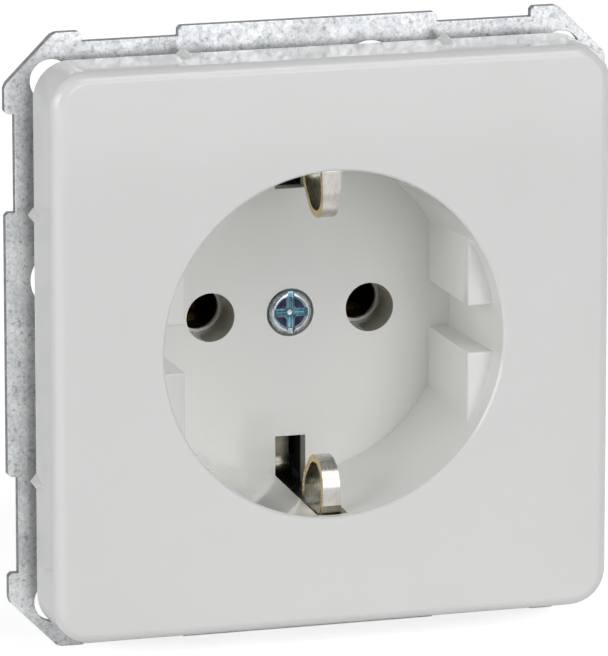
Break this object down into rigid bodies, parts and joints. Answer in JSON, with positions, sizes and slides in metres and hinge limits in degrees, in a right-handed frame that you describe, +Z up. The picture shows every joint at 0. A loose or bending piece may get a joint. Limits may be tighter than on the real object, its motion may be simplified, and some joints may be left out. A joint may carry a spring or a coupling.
{
  "type": "flush wall socket",
  "caption": "Flush wall socket insert: a square white cover with a round plug recess, pin holes and side earth clips on a steel support frame, with its contact base behind.",
  "frame": {"origin": "middle of the support frame on its back face, which lies on the wall", "axes": "+Y into the wall box, -Y out of the front of the cover, +Z up, +X to the right seen from the front"},
  "size_m": [0.0706, 0.0386, 0.0706],
  "materials": {
    "white_plastic": "glossy moulded thermoplastic",
    "galvanised_steel": "galvanised sheet with a mottled zinc coat",
    "zinc_steel": "blue zinc plated",
    "spring_steel": "bare spring steel",
    "nickel_brass": "nickel plated brass strip with bare cut edges",
    "brass": "bare brass",
    "dark_plastic": "matte moulded thermoset"
  },
  "bodies": {
    "root": {"cover": "white_plastic", "centre_screw": "zinc_steel", "support_frame": "galvanised_steel", "earth_bracket": "nickel_brass", "contact_cover": "dark_plastic", "socket_base": "dark_plastic", "housing_screws": "zinc_steel", "line_contact": "brass", "neutral_contact": "brass", "line_contact_spring": "spring_steel", "neutral_contact_spring": "spring_steel", "line_terminal_cage": "zinc_steel", "neutral_terminal_cage": "zinc_steel", "earth_terminal_cage": "zinc_steel", "line_terminal_screw": "zinc_steel", "neutral_terminal_screw": "zinc_steel", "earth_terminal_screw": "zinc_steel", "earth_terminal_lug": "brass", "earth_rivet": "brass"}
  },
  "joints": []
}
